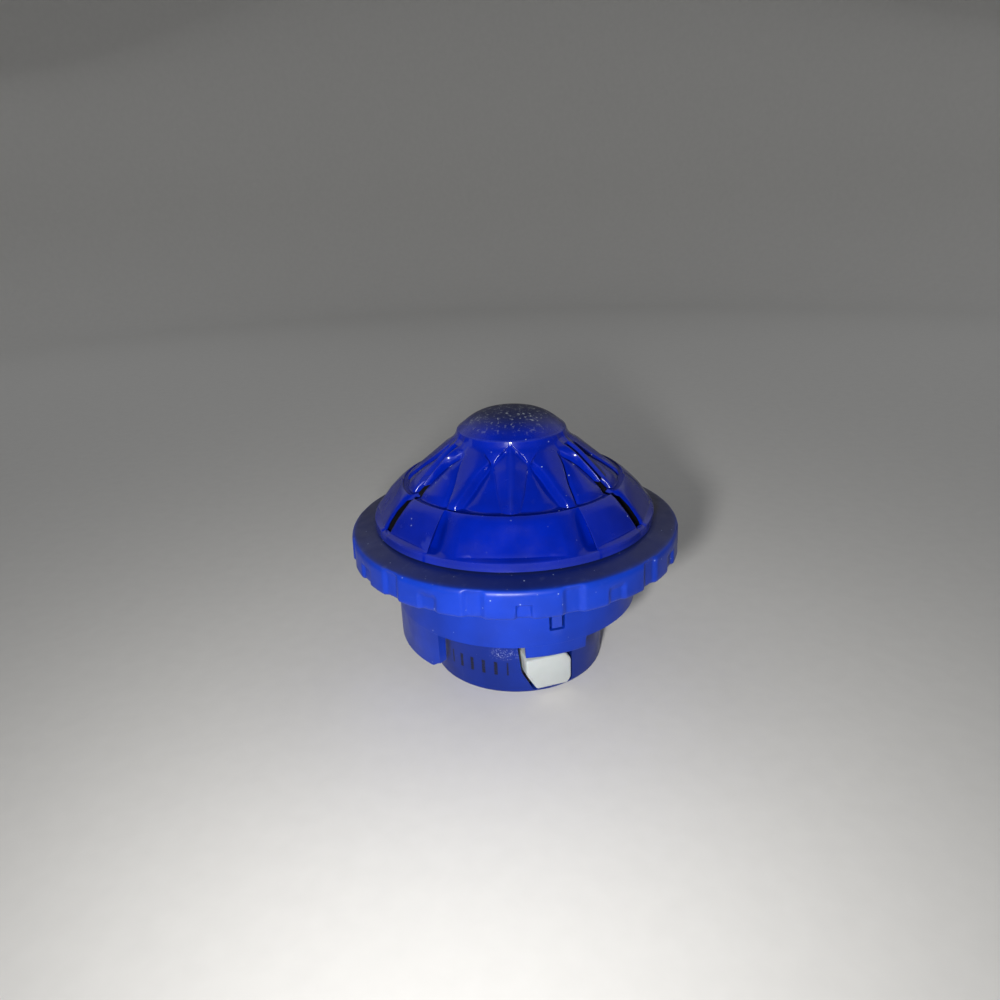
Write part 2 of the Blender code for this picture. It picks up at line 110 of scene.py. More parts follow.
def through(xs, ys, x):
    """A curve through (xs, ys) that rises and falls only where the values do."""
    xs, ys, x = np.asarray(xs, float), np.asarray(ys, float), np.asarray(x, float)
    step = np.diff(xs)
    slope = np.diff(ys) / step
    tangent = np.zeros(len(xs))
    tangent[0], tangent[-1] = slope[0], slope[-1]
    same = slope[:-1] * slope[1:] > 0
    mean = 2 * slope[:-1] * slope[1:] / np.where(same, slope[:-1] + slope[1:], 1)
    tangent[1:-1] = np.where(same, mean, 0)
    i = np.clip(np.searchsorted(xs, x) - 1, 0, len(xs) - 2)
    t = np.clip((x - xs[i]) / step[i], 0, 1)
    a = (1 + 2 * t) * (1 - t) ** 2 * ys[i] + t * t * (3 - 2 * t) * ys[i + 1]
    b = t * (1 - t) ** 2 * tangent[i] - t * t * (1 - t) * tangent[i + 1]
    return a + step[i] * b


def rounded(corners, steps=4, closed=False, between=0):
    """Points along corners of (x, y, radius), each turned into a small arc."""
    points = np.array([c[:2] for c in corners], float)
    made = []
    last = len(corners) - 1
    for i, (_, _, radius) in enumerate(corners):
        here = points[i]
        if not closed and i in (0, last):
            arc = [here]
        else:
            back, ahead = points[i - 1] - here, points[(i + 1) % (last + 1)] - here
            sizes = [max(np.linalg.norm(back), 1e-9), max(np.linalg.norm(ahead), 1e-9)]
            reach = min(radius, 0.46 * sizes[0], 0.46 * sizes[1])
            start, end = here + back / sizes[0] * reach, here + ahead / sizes[1] * reach
            shares = [k / steps for k in range(steps + 1)]
            arc = [(1 - t) ** 2 * start + 2 * t * (1 - t) * here + t * t * end for t in shares]
        if made and between:
            made += [made[-1] + (arc[0] - made[-1]) * k / (between + 1) for k in range(1, between + 1)]
        made += arc
    return np.array(made)


# Meshes


def finished(name, bm, body, nodes, material, sharp=40):
    """A piece from a bmesh in millimetres, riding on a body and standing for its CAD nodes."""
    bmesh.ops.remove_doubles(bm, verts=bm.verts, dist=1e-5)
    bmesh.ops.dissolve_degenerate(bm, edges=bm.edges, dist=1e-6)
    bmesh.ops.recalc_face_normals(bm, faces=bm.faces)
    bm.transform(Matrix.Scale(MM, 4))
    mesh = bpy.data.meshes.new(name)
    bm.to_mesh(mesh)
    bm.free()
    mesh.materials.append(material)
    mesh.shade_smooth()
    mesh.set_sharp_from_angle(angle=math.radians(sharp))
    piece = bpy.data.objects.new(name, mesh)
    bpy.context.scene.collection.objects.link(piece)
    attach(piece, body)
    if nodes:
        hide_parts(*nodes)
    return piece


def lattice(rows):
    """A closed ring through rows of points, one row for each azimuth."""
    bm = bmesh.new()
    made = [[bm.verts.new(point) for point in row] for row in rows]
    for row, after in zip(made, made[1:] + made[:1]):
        count = len(row)
        for i in range(count):
            j = (i + 1) % count
            bm.faces.new((row[i], row[j], after[j], after[i]))
    return bm


def revolved(profile, steps=96):
    """A turned solid. A profile that starts and ends on the axis needs no bore."""
    profile = np.asarray(profile, float)
    return lattice([polar(profile[:, 0], 360 * k / steps, profile[:, 1]) for k in range(steps)])


def prism(outline, near, far, azimuth, bevel=0.0):
    """An outline of (x, z) extruded outwards between two distances from the axis."""
    bm = bmesh.new()
    face = bm.faces.new([bm.verts.new((x, -near, z)) for x, z in outline])
    pushed = bmesh.ops.extrude_face_region(bm, geom=[face])["geom"]
    moved = [item for item in pushed if isinstance(item, bmesh.types.BMVert)]
    bmesh.ops.translate(bm, verts=moved, vec=(0, near - far, 0))
    if bevel:
        ends = {"offset": bevel, "segments": 4, "profile": 0.5, "affect": "EDGES"}
        bmesh.ops.bevel(bm, geom=list(bm.edges), clamp_overlap=True, **ends)
    bm.transform(Matrix.Rotation(math.radians(azimuth), 4, "Z"))
    bmesh.ops.recalc_face_normals(bm, faces=bm.faces)
    return bm


def as_object(bm, name):
    mesh = bpy.data.meshes.new(name)
    bm.to_mesh(mesh)
    bm.free()
    item = bpy.data.objects.new(name, mesh)
    bpy.context.scene.collection.objects.link(item)
    return item


def combined(bm, operation, tools):
    """The bmesh with other solids cut away or joined on, one Boolean for all of them."""
    bmesh.ops.recalc_face_normals(bm, faces=bm.faces)
    base = as_object(bm, "combine_base")
    gathered = bmesh.new()
    for tool in tools:
        mesh = bpy.data.meshes.new("combine_tool")
        tool.to_mesh(mesh)
        tool.free()
        gathered.from_mesh(mesh)
        bpy.data.meshes.remove(mesh)
    cutter = as_object(gathered, "combine_tools")
    modifier = base.modifiers.new("Combine", "BOOLEAN")
    modifier.operation = operation
    modifier.solver = "EXACT"
    modifier.object = cutter
    seen = base.evaluated_get(bpy.context.evaluated_depsgraph_get())
    made = bmesh.new()
    made.from_mesh(seen.to_mesh())
    for item in (base, cutter):
        mesh = item.data
        bpy.data.objects.remove(item)
        bpy.data.meshes.remove(mesh)
    return made


# Materials


class Nodes:
    """Short names for the shader nodes that the finishes share."""

    def __init__(self, name, colour, roughness, metallic=0.0, **sockets):
        self.material = bpy.data.materials.new(name)
        self.material.use_nodes = True
        self.tree = self.material.node_tree
        self.shader = self.tree.nodes["Principled BSDF"]
        self.shader.inputs["Base Color"].default_value = (*colour, 1)
        self.shader.inputs["Roughness"].default_value = roughness
        self.shader.inputs["Metallic"].default_value = metallic
        for socket, value in sockets.items():
            self.shader.inputs[socket.replace("_", " ")].default_value = value
        self.place = self.tree.nodes.new("ShaderNodeTexCoord").outputs["Object"]
        geometry = self.tree.nodes.new("ShaderNodeNewGeometry")
        self.pointiness, self.normal = geometry.outputs["Pointiness"], geometry.outputs["Normal"]

    def node(self, kind, **links):
        made = self.tree.nodes.new("ShaderNode" + kind)
        for name, value in links.items():
            socket = made.inputs[int(name[1:]) if name[1:].isdigit() else name.replace("_", " ")]
            if isinstance(value, bpy.types.NodeSocket):
                self.tree.links.new(value, socket)
            else:
                socket.default_value = value
        return made

    def noise(self, scale, detail=3.0, stretch=None, roughness=0.5):
        place = self.place
        if stretch:
            place = self.node("Mapping", Vector=place, Scale=stretch).outputs[0]
        made = self.node("TexNoise", Vector=place, Scale=scale, Detail=detail, Roughness=roughness)
        return made.outputs[0]

    def ramp(self, value, low, high, to_low=0.0, to_high=1.0):
        made = self.node("MapRange", Value=value)
        for name, number in zip(("From Min", "From Max", "To Min", "To Max"), (low, high, to_low, to_high)):
            made.inputs[name].default_value = number
        return made.outputs[0]

    def maths(self, operation, a, b=0.0):
        made = self.node("Math", _0=a, _1=b)
        made.operation = operation
        return made.outputs[0]

    def times(self, a, b):
        return self.maths("MULTIPLY", a, b)

    def mix(self, share, a, b):
        made = self.tree.nodes.new("ShaderNodeMix")
        made.data_type = "RGBA"
        for index, value in ((0, share), (6, a), (7, b)):
            if isinstance(value, bpy.types.NodeSocket):
                self.tree.links.new(value, made.inputs[index])
            elif index:
                made.inputs[index].default_value = (*value, 1)
            else:
                made.inputs[index].default_value = value
        return made.outputs[2]

    def axis(self, index):
        return self.node("SeparateXYZ", Vector=self.place).outputs[index]

    def band(self, value, low, high, soft):
        """1 between low and high, fading over soft on both sides."""
        rise = self.ramp(value, low - soft, low + soft)
        fall = self.ramp(value, high - soft, high + soft, 1.0, 0.0)
        return self.times(rise, fall)

    def set(self, socket, value):
        self.tree.links.new(value, self.shader.inputs[socket])

    def bump(self, height, strength, distance=0.00002):
        made = self.node("Bump", Height=height)
        made.inputs["Strength"].default_value = strength
        made.inputs["Distance"].default_value = distance
        self.set("Normal", made.outputs[0])


def specks(nodes, scale, share):
    """Scattered dust grains: 1 on a few small cells, 0 elsewhere."""
    cells = nodes.node("TexVoronoi", Vector=nodes.place, Scale=scale, Randomness=1.0)
    grain = nodes.ramp(cells.outputs["Distance"], 0.10, 0.22, 1.0, 0.0)
    lot = nodes.node("SeparateColor", _0=cells.outputs["Color"]).outputs[0]
    return nodes.times(grain, nodes.ramp(lot, share, share + 0.01, 1.0, 0.0))


DUST_COLOUR = (0.34, 0.42, 0.60)
# Painted shade for surfaces that face up
UP_SHADE_COLOUR = (0.002, 0.004, 0.035)
# Painted shade for the top of the cap
CROWN_SHADE_COLOUR = (0.005, 0.009, 0.040)
SCUFF_COLOUR = (0.36, 0.40, 0.44)


def add_crown_wear_and_shade(nodes, surface, rough, height):
    """Scratches in two directions, pits, a rougher skin and painted shade darkening the top of the cap."""
    crown = nodes.ramp(nodes.axis(2), (CAP_TOP - 1.6) * MM, (CAP_TOP - 0.25) * MM)
    lines = nodes.maths(
        "MAXIMUM",
        nodes.ramp(nodes.noise(1500, 2, (1, 9, 1)), 0.68, 0.74),
        nodes.ramp(nodes.noise(1300, 2, (8, 1.4, 1)), 0.69, 0.75),
    )
    pits = nodes.ramp(nodes.noise(2400, 4, roughness=0.65), 0.57, 0.66)
    marks = nodes.times(nodes.maths("MAXIMUM", lines, pits), crown)
    # Painted shade: the top of the cap is darkened, as the low lamp lights it only weakly.
    crown_shaded = nodes.mix(nodes.times(crown, 0.75), surface, CROWN_SHADE_COLOUR)
    surface = nodes.mix(nodes.times(marks, 0.7), crown_shaded, SCUFF_COLOUR)
    rough = nodes.maths("ADD", rough, nodes.times(crown, 0.2))
    return surface, rough, nodes.maths("ADD", height, nodes.times(marks, -3.0))


def moulded_blue(name, colour, roughness, dust=0.3, crown_wear_and_shade=False, up_shade=0.0):
    """Blue moulded plastic: slight flow marks, a fine skin texture, dust grains, rubbed edges, and painted
    shade darkening up-facing surfaces.
    """
    nodes = Nodes(name, colour, roughness, IOR=1.5, Specular_IOR_Level=0.3)
    flow = nodes.noise(260, 4)
    deep = tuple(0.86 * c for c in colour)
    light = tuple(1.12 * c for c in colour)
    skin = nodes.mix(nodes.ramp(flow, 0.35, 0.65), deep, light)
    grains = nodes.times(specks(nodes, 2800, 0.05 * dust), 0.7)
    haze = nodes.times(nodes.ramp(nodes.noise(900, 6, roughness=0.7), 0.58, 0.80), 0.10 * dust)
    # Painted shade: up-facing surfaces are darkened towards a dark navy, standing in for the weak light the
    # low lamp gives them.
    up = nodes.ramp(nodes.node("SeparateXYZ", Vector=nodes.normal).outputs[2], 0.72, 0.97)
    skin = nodes.mix(nodes.times(up, up_shade), skin, UP_SHADE_COLOUR)
    rub = nodes.times(nodes.ramp(nodes.pointiness, 0.515, 0.57), 0.03)
    pale = nodes.maths("MAXIMUM", nodes.maths("MAXIMUM", grains, haze), rub)
    surface = nodes.mix(pale, skin, DUST_COLOUR)
    rough = nodes.ramp(nodes.noise(700, 5), 0.3, 0.7, roughness - 0.05, roughness + 0.08)
    height = nodes.noise(5200, 3)
    if crown_wear_and_shade:
        surface, rough, height = add_crown_wear_and_shade(nodes, surface, rough, height)
    nodes.set("Base Color", surface)
    nodes.set("Roughness", rough)
    nodes.bump(height, 0.12)
    return nodes


def hub_ink_and_shade(nodes, colour_before):
    """A row of plain ink ticks, a rubbed patch on the front of the hub tube, and painted shade darkening the
    tube under the skirt.
    """
    x, y, z = (nodes.axis(i) for i in range(3))
    turn = nodes.maths("ARCTAN2", x, nodes.times(y, -1.0))
    reach = nodes.maths("SQRT", nodes.maths("ADD", nodes.times(x, x), nodes.times(y, y)))
    on_tube = nodes.ramp(reach, 9.15 * MM, 9.3 * MM, 1.0, 0.0)
    degree = math.pi / 180
    span = nodes.band(turn, -46 * degree, -5 * degree, 0.3 * degree)
    tall = nodes.band(z, 2.05 * MM, 3.55 * MM, 0.05 * MM)
    beat = nodes.maths("FRACT", nodes.times(turn, 1 / (8.2 * degree)))
    bars = nodes.band(beat, 0.26, 0.54, 0.03)
    worn = nodes.ramp(nodes.noise(4200, 4), 0.36, 0.5, 0.7, 1.0)
    ink = nodes.times(nodes.times(nodes.times(span, tall), nodes.times(bars, worn)), on_tube)
    # Painted shade: the tube under the skirt is darkened, standing in for the skirt's shadow.
    shaded = nodes.mix(nodes.times(on_tube, 0.45), colour_before, (0.001, 0.004, 0.04))
    inked = nodes.mix(ink, shaded, (0.006, 0.007, 0.02))
    beside = nodes.band(turn, -15 * degree, 0.5 * degree, 3 * degree)
    patch = nodes.times(beside, nodes.band(z, 4.0 * MM, 5.0 * MM, 0.3 * MM))
    glints = nodes.ramp(nodes.noise(7000, 3, roughness=0.7), 0.55, 0.68)
    rubbed = nodes.times(nodes.times(patch, nodes.times(glints, 0.6)), on_tube)
    return nodes.mix(rubbed, inked, (0.5, 0.55, 0.75))


def hub_blue():
    nodes = moulded_blue("hub_satin_blue", SATIN_BLUE, 0.38, dust=0.2)
    before = nodes.shader.inputs["Base Color"].links[0].from_socket
    nodes.set("Base Color", hub_ink_and_shade(nodes, before))
    return nodes.material


def simple(name, colour, roughness, metallic=0.0, spread=0.12, grain=3000, strength=0.1, **sockets):
    """A plain finish whose colour, roughness and skin all vary a little."""
    nodes = Nodes(name, colour, roughness, metallic, **sockets)
    tone = nodes.ramp(nodes.noise(500, 4), 0.3, 0.7)
    deep = tuple((1 - spread) * c for c in colour)
    light = tuple(min(1.0, (1 + spread) * c) for c in colour)
    nodes.set("Base Color", nodes.mix(tone, deep, light))
    smoothest = max(0.03, roughness - 0.06)
    nodes.set("Roughness", nodes.ramp(nodes.noise(900, 5), 0.3, 0.7, smoothest, roughness + 0.08))
    nodes.bump(nodes.noise(grain, 4), strength)
    return nodes.material


def brushed(name, colour, roughness):
    """Metal with fine lines round its axis."""
    nodes = Nodes(name, colour, roughness, 1.0)
    lines = nodes.noise(1200, 4, (1, 1, 14))
    nodes.set("Base Color", nodes.mix(nodes.ramp(lines, 0.3, 0.7), tuple(0.85 * c for c in colour), colour))
    nodes.set("Roughness", nodes.ramp(lines, 0.3, 0.7, roughness - 0.08, roughness + 0.12))
    nodes.bump(lines, 0.15)
    return nodes.material


def board_mask():
    """Green solder mask with thin copper tracks under it."""
    nodes = Nodes("board_green", (0.01, 0.12, 0.04), 0.35, Coat_Weight=0.4)
    cells = nodes.node("TexVoronoi", Vector=nodes.place, Scale=700.0)
    cells.feature = "DISTANCE_TO_EDGE"
    track = nodes.ramp(cells.outputs["Distance"], 0.05, 0.08, 1.0, 0.0)
    nodes.set("Base Color", nodes.mix(track, (0.008, 0.10, 0.035), (0.03, 0.24, 0.07)))
    nodes.bump(track, 0.3)
    return nodes.material


DOME_BLUE = (0.0, 0.009, 0.245)
SATIN_BLUE = (0.002, 0.030, 0.36)
MILKY_WHITE = (0.50, 0.50, 0.495)
BLACK = (0.025, 0.025, 0.028)
SLOT_SHADE_BLACK = (0.004, 0.004, 0.005)
CLEAR = (0.80, 0.88, 0.97)

deep_blue = moulded_blue("deep_blue", DOME_BLUE, 0.20, dust=0.12).material
cap_blue = moulded_blue("worn_shaded_cap_blue", DOME_BLUE, 0.26, dust=0.2, crown_wear_and_shade=True, up_shade=0.5).material
rim_blue = moulded_blue("rim_satin_blue", SATIN_BLUE, 0.36, dust=0.6, up_shade=0.85).material
hub_material = hub_blue()
latch_white = simple("latch_white", MILKY_WHITE, 0.36, spread=0.04, strength=0.06, Subsurface_Weight=0.15)
black_plastic = simple("black_plastic", BLACK, 0.48, grain=2200, strength=0.2)
# Near-black, barely reflecting finish for the slot ribs: painted shade inside the slots.
slot_shade_black = simple("slot_shade_black", SLOT_SHADE_BLACK, 0.75, grain=2200, strength=0.2, Specular_IOR_Level=0.1)
steel = brushed("bright_steel", (0.66, 0.67, 0.69), 0.26)
brass = brushed("plain_brass", (0.78, 0.58, 0.26), 0.28)
clear = simple("clear_plastic", CLEAR, 0.12, spread=0.03, strength=0.03, Transmission_Weight=0.75, IOR=1.49)


# Petal dome. Its skin follows a path from the cap down to the crease, and every place on the path
# has a station: its radius, or a little less on the steep flare under the cap. Each feature line
# gives its azimuths at the stations, how far it stands off the path, and how round its edge is.

FLARE = [  # station, radius, height
    (5.10, 5.40, 25.06),
    (5.35, 5.49, 24.80),
    (5.60, 5.60, 24.52),
    (5.78, 5.74, 24.30),
    (6.0, 6.0, 24.04),
]
CREST_FOOT = (10.97, 20.12)
STATIONS = (5.10, 5.40, 5.78, 6.2, 6.69, 7.3, 8.1, 9.1, 10.05, 10.6, 10.97)
KEEL = ([0] * 11, [0, -0.02, -0.08, -0.11, -0.09, -0.05, -0.02, 0.02, 0.0, -0.14, -0.40], 0.45)
KITE_EDGE = (
    [0.7, 1.0, 6.2, 11.2, 14.0, 12, 9.6, 7.4, 5.2, 4, 3.2],
    [0, -0.05, -0.34, -0.50, -0.62, -0.50, -0.44, -0.40, -0.38, -0.48, -0.64],
    0.10,
)
PANEL_NEAR = (
    [1.4, 1.9, 7.4, 12.4, 15.0, 13.2, 10.7, 8.4, 6.2, 5, 4.2],
    [0, 0, 0, -0.23, -0.54, -0.62, -0.58, -0.54, -0.52, -0.58, -0.70],
    0.04,
)
PANEL_MIDDLE = (
    [4, 6, 14, 16.6, 15.8, 15.8, 16.2, 17, 16.8, 16.6, 16.5],
    [0, 0, 0, -0.22, -0.56, -0.58, -0.46, -0.36, -0.34, -0.46, -0.62],
    1.4,
)
WALL_FOOT = (
    [30, 28.5, 24.6, 20.6, 16.5, 18.6, 21.6, 23.5, 25.3, 26.2, 26.7],
    [0, 0, -0.03, -0.24, -0.60, -0.76, -0.78, -0.74, -0.68, -0.70, -0.76],
    0.14,
)
WALL_TOP = (
    [32, 30.5, 27.0, 22.6, 17.5, 21.3, 24.2, 25.9, 27.5, 28.4, 28.8],
    [0, 0, 0.02, 0.02, 0, 0, 0, 0, 0, -0.10, -0.40],
    0.12,
)
RIB_CREASE = (
    [35, 33.8, 31, 26.5, 20.5, 23.9, 26.6, 28.0, 29.3, 30, 30.3],
    [0, 0.01, 0.03, 0.04, 0.04, 0.06, 0.08, 0.08, 0.06, -0.06, -0.36],
    0.3,
)
RIB_RIDGE = (
    [39, 37.6, 35, 31.5, 28.5, 28.6, 29.4, 30.8, 32.0, 32.2, 32],
    [0, 0.01, 0.04, 0.06, 0.06, 0.07, 0.08, 0.08, 0.05, -0.06, -0.36],
    0.3,
)
RIB_EDGE = (
    [44, 43.8, 43.5, 43, 42.4, 41.0, 38.2, 35.3, 34, 33.6, 33.4],
    [0, 0, 0, 0, 0, -0.02, -0.03, -0.06, -0.08, -0.18, -0.42],
    0.14,
)
RIB_GROOVE = (
    [44.6, 44.6, 44.4, 44.0, 43.7, 42.5, 39.7, 36.5, 35, 34.6, 34.4],
    [0, 0, 0, 0, -0.46, -0.62, -0.64, -0.60, -0.56, -0.58, -0.66],
    0.08,
)
PETAL_NEAR = (
    [45.2, 45.2, 45, 44.8, 44.9, 44.3, 41.9, 38.4, 36.6, 36.2, 36],
    [0, 0, 0, 0, -0.34, -0.30, -0.24, -0.20, -0.20, -0.30, -0.50],
    0.25,
)
PETAL_MIDDLE = (
    [45.6, 45.6, 45.4, 45.4, 46.2, 48.1, 48.4, 47.2, 46.2, 46, 46],
    [0, 0, 0, 0, -0.30, -0.14, 0.0, 0.06, 0.0, -0.16, -0.42],
    1.0,
)
PETAL_FAR = (
    [46, 46, 45.8, 46, 47.5, 51.5, 54.1, 54.9, 55.1, 55.1, 55.1],
    [0, 0, 0, 0, -0.34, -0.32, -0.24, -0.18, -0.18, -0.30, -0.50],
    0.22,
)
FIN_GROOVE = (
    [46.6, 46.6, 46.3, 46.6, 48.6, 52.8, 55.3, 56.0, 56.2, 56.1, 56.1],
    [0, 0, 0, 0, -0.56, -0.78, -0.82, -0.80, -0.78, -0.76, -0.78],
    0.08,
)
FIN_FOOT = (
    [47.6, 47.6, 47.2, 47.6, 50.0, 54.2, 56.2, 56.8, 56.9, 56.8, 56.8],
    [0, 0, 0.02, 0.04, 0.02, 0.05, 0.05, 0.02, -0.06, -0.35, -0.66],
    0.10,
)
FIN_RISES = (0, 0.02, 0.12, 0.28, 0.38, 0.42, 0.38, 0.30, 0.12, -0.25, -0.65)
FIN_WIDTH = 0.16
FEATURES = [KEEL, KITE_EDGE, PANEL_NEAR, PANEL_MIDDLE, WALL_FOOT, WALL_TOP, RIB_CREASE, RIB_RIDGE, RIB_EDGE]
FEATURES += [RIB_GROOVE, PETAL_NEAR, PETAL_MIDDLE, PETAL_FAR, FIN_GROOVE, FIN_FOOT]
FLARE_LEVELS = 20
SLOPE_LEVELS = 46
DOME_FOOT = 19.98


def dome_path(stations):
    """Radii, heights and outward normals along the path under the cap."""
    stops = FLARE + [(CREST_FOOT[0], *CREST_FOOT)]
    columns = list(zip(*stops))

    def place(q):
        straight = CREST_TOP[1] - CREST_SLOPE * (q - CREST_TOP[0])
        radius = np.where(q < 6, through(columns[0], columns[1], q), q)
        return radius, np.where(q < 6, through(columns[0], columns[2], q), straight)

    radius, height = place(stations)
    (r_in, z_in), (r_out, z_out) = place(stations - 0.03), place(stations + 0.03)
    length = np.hypot(r_out - r_in, z_out - z_in)
    return radius, height, (z_in - z_out) / length, (r_out - r_in) / length


def dome_level(station, radius):
    """(azimuths, rises) across half a sector at one station."""
    slot_edge = math.radians(60) * radius - SLOT_HALF
    fin = float(through(STATIONS, FIN_RISES, station))
    corners = []
    for azimuths, rises, rounding in FEATURES:
        azimuth = math.radians(through(STATIONS, azimuths, station))
        across = min(azimuth * radius, slot_edge - FIN_WIDTH - 0.06)
        corners.append((across, float(through(STATIONS, rises, station)), rounding))
    corners.append((slot_edge - FIN_WIDTH, fin, 0.08))
    corners.append((slot_edge, fin - 0.05, 0.04))
    corners.append((math.radians(60) * radius, fin - 0.08, 0))
    points = rounded(corners, steps=4, between=2)
    return np.degrees(points[:, 0] / radius), points[:, 1]


def dome_sections():
    """Closed sections from the middle of the front petal to the middle of a slot."""
    flare, slope = np.linspace(5.10, 6.6, FLARE_LEVELS), np.linspace(6.7, STATIONS[-1], SLOPE_LEVELS)
    stations = np.concatenate([flare, slope])
    radii, heights, lean, rise = dome_path(stations)
    levels = [dome_level(q, r) for q, r in zip(stations, radii)]
    azimuths = np.array([level[0] for level in levels])
    offsets = np.array([level[1] for level in levels])
    r = radii[:, None] + offsets * lean[:, None]
    z = np.maximum(heights[:, None] + offsets * rise[:, None], DOME_FOOT)
    inner = [(9.75, 19.97), (9.75, 18.8), (8.9, 18.8), (8.9, 20.3), (7.6, 21.4), (5.0, 22.9), (0.95, 22.9)]
    inner += [(0.95, 23.5), (5.1, 23.55), (5.1, 24.95), (5.3, 25.06)]
    sections = []
    for column in range(azimuths.shape[1]):
        outer = polar(r[:, column], azimuths[:, column], z[:, column])
        foot, head = azimuths[-1, column], azimuths[0, column]
        low = [polar(rr, foot if rr > 7 else head, zz) for rr, zz in inner]
        sections.append(np.vstack([outer, low]))
    return sections


def mirrored(section):
    return section * np.array([-1, 1, 1])


def around(points, azimuth):
    """Points turned about the axis by an azimuth."""
    c, s = math.cos(math.radians(azimuth)), math.sin(math.radians(azimuth))
    return points @ np.array([[c, s, 0], [-s, c, 0], [0, 0, 1]])


def full_circle(half):
    """All the sections from those of half a sector, which run from azimuth 0 to 60."""
    sector = [mirrored(s) for s in half[-2:0:-1]] + list(half)
    return [around(section, third) for third in THIRDS for section in sector]


def box_outline(half_width, low, high):
    return [(-half_width, low), (half_width, low), (half_width, high), (-half_width, high)]


def petal_dome():
    bm = lattice(full_circle(dome_sections()))
    mouth = [(0.8, 18.0), (0.8, 20.5), (SLOT_HALF, 21.6), (SLOT_HALF, 26.0)]
    outline = mouth + [(-x, z) for x, z in reversed(mouth)]
    tools = [prism(outline, 6.0, 15.0, 60 + a) for a in THIRDS]
    bm = combined(bm, "DIFFERENCE", tools)
    return finished("petal_dome_shell", bm, "tip", ["petal_dome"], deep_blue)


# Cap


def tip_cap():
    outer = [(0, 0), (0.9, 0.03), (1.9, 0.14), (2.8, 0.33), (3.6, 0.64), (4.25, 1.02)]
    outer += [(4.75, 1.40), (5.1, 1.68), (5.28, 1.82), (5.36, 1.88), (5.385, 1.93)]
    run = np.concatenate([[0], np.cumsum(np.hypot(*np.diff(np.array(outer), axis=0).T))])
    along = np.linspace(0, run[-1], 60)
    radii, drops = (through(run, column, along) for column in zip(*outer))
    lower = [(5.0, CAP_TOP - 1.93), (5.0, 23.68), (0.72, 23.68), (0.72, 26.0), (0, 26.0)]
    bm = revolved(np.vstack([np.stack([radii, CAP_TOP - drops], 1), lower]), 128)
    return finished("tip_cap_crown", bm, "tip", ["tip_cap"], cap_blue)


# Panel ring: a loft between a round shoulder and flat panels, with steps and the three slots

PANEL_LEVELS = [
    # height, radius, sag of the centre panel, dip of the slopes, sag of the side panels
    (19.92, 11.05, 0.0, 0.0, 0.0),
    (20.00, 11.08, 0.0, 0.02, 0.0),
    (20.03, 11.16, 0.0, 0.10, 0.0),
    (19.98, 11.28, 0.0, 0.22, 0.0),
    (19.72, 11.66, 0.04, 0.50, 0.04),
    (19.30, 12.12, 0.18, 0.76, 0.16),
    (18.85, 12.57, 0.29, 0.96, 0.26),
    (18.30, 13.09, 0.40, 1.10, 0.36),
    (17.75, 13.50, 0.40, 1.14, 0.38),
    (17.35, 13.78, 0.38, 1.10, 0.36),
    (17.14, 13.92, 0.36, 1.02, 0.34),
    (17.08, 13.96, 0.47, 0.92, 0.44),
    (17.03, 14.00, 0.40, 0.76, 0.36),
    (16.98, 14.03, 0.18, 0.54, 0.14),
    (16.93, 14.07, 0.02, 0.28, 0.02),
    (16.89, 14.12, 0.0, 0.08, 0.0),
    (16.85, 14.16, 0.0, 0.0, 0.0),
    (16.50, 14.18, 0.0, 0.0, 0.0),
    (16.08, 14.20, 0.0, 0.0, 0.0),
]
STEP_UNDERCUT = 2.6
PANEL_COLUMNS = [(0, 19, 12), (19.6, 21.4, 7), (22.4, 31, 8), (31.5, 33.1, 11), (34.2, 56, 14)]
PANEL_COLUMNS += [(56.5, 60, 15)]


def panel_sections():
    """Closed sections from the middle of the centre panel to the middle of a slot."""
    corner, step, side_mid, side_half = 20.5, 32.0, 46.0, 13.6
    sections = []
    for a in np.concatenate([np.linspace(*run) for run in PANEL_COLUMNS]):
        centre = 1 - (min(a, corner) / corner) ** 2
        slope = np.clip((a - corner) / (step - corner), 0, 1) ** 2 * (1 - smooth(a, 31.85, 32.55))
        lean = STEP_UNDERCUT * smooth(a, 31.3, 31.85) * (1 - smooth(a, 31.85, 32.55))
        side = smooth(a, 31.85, 32.55) * max(0.0, 1 - ((a - side_mid) / side_half) ** 2)
        outer = []
        for height, radius, sag, dip, side_sag in PANEL_LEVELS:
            r = radius - sag * centre - dip * slope - side_sag * side
            offset = r * math.sin(math.radians(60 - a)) - PANEL_SLOT_HALF
            fall = 0.16 * (1 - min(max(offset, 0), 0.34) / 0.34) ** 2 if offset < 0.34 else 0
            exposed = smooth(height, 16.6, 17.0) * smooth(20.06 - height, 0.0, 0.05)
            outer.append((r - fall * exposed * 0.8, height - fall * exposed * 0.6))
        inner = [(11.4, 16.05), (11.4, 17.2), (9.95, 19.0), (9.95, 19.9)]
        points = np.array(outer + inner)
        azimuths = np.array([a + lean] * len(outer) + [a] * len(inner))
        sections.append(polar(points[:, 0], azimuths, points[:, 1]))
    return sections


# The ribs of the battery tray that stand behind the three slots, coloured near-black as painted shade so that
# the slots read as deep shadow

SLOT_POCKET = [(9.0, 19.4), (11.4, 19.4), (12.4, 18.55), (13.25, 17.5), (13.65, 16.8), (13.65, 16.35)]
SLOT_POCKET += [(9.0, 16.35)]
TRAY_RIB = [(9.3, 16.5), (13.25, 16.5), (13.25, 16.75), (12.9, 17.4), (12.05, 18.4), (11.1, 19.15)]
TRAY_RIB += [(9.3, 19.15)]
GUIDE_RIB = [(8.3, 20.2), (10.2, 19.9), (10.1, 20.1), (8.5, 21.35), (6.7, 22.75), (6.05, 23.2)]
GUIDE_RIB += [(6.05, 22.4)]


def across(outline, half_width, azimuth):
    """An outline of (radius, z) with an even thickness across the slot at an azimuth."""
    bm = prism([(r, z) for r, z in outline], -half_width, half_width, 0)
    bm.transform(Matrix.Rotation(math.radians(azimuth - 90), 4, "Z"))
    return bm


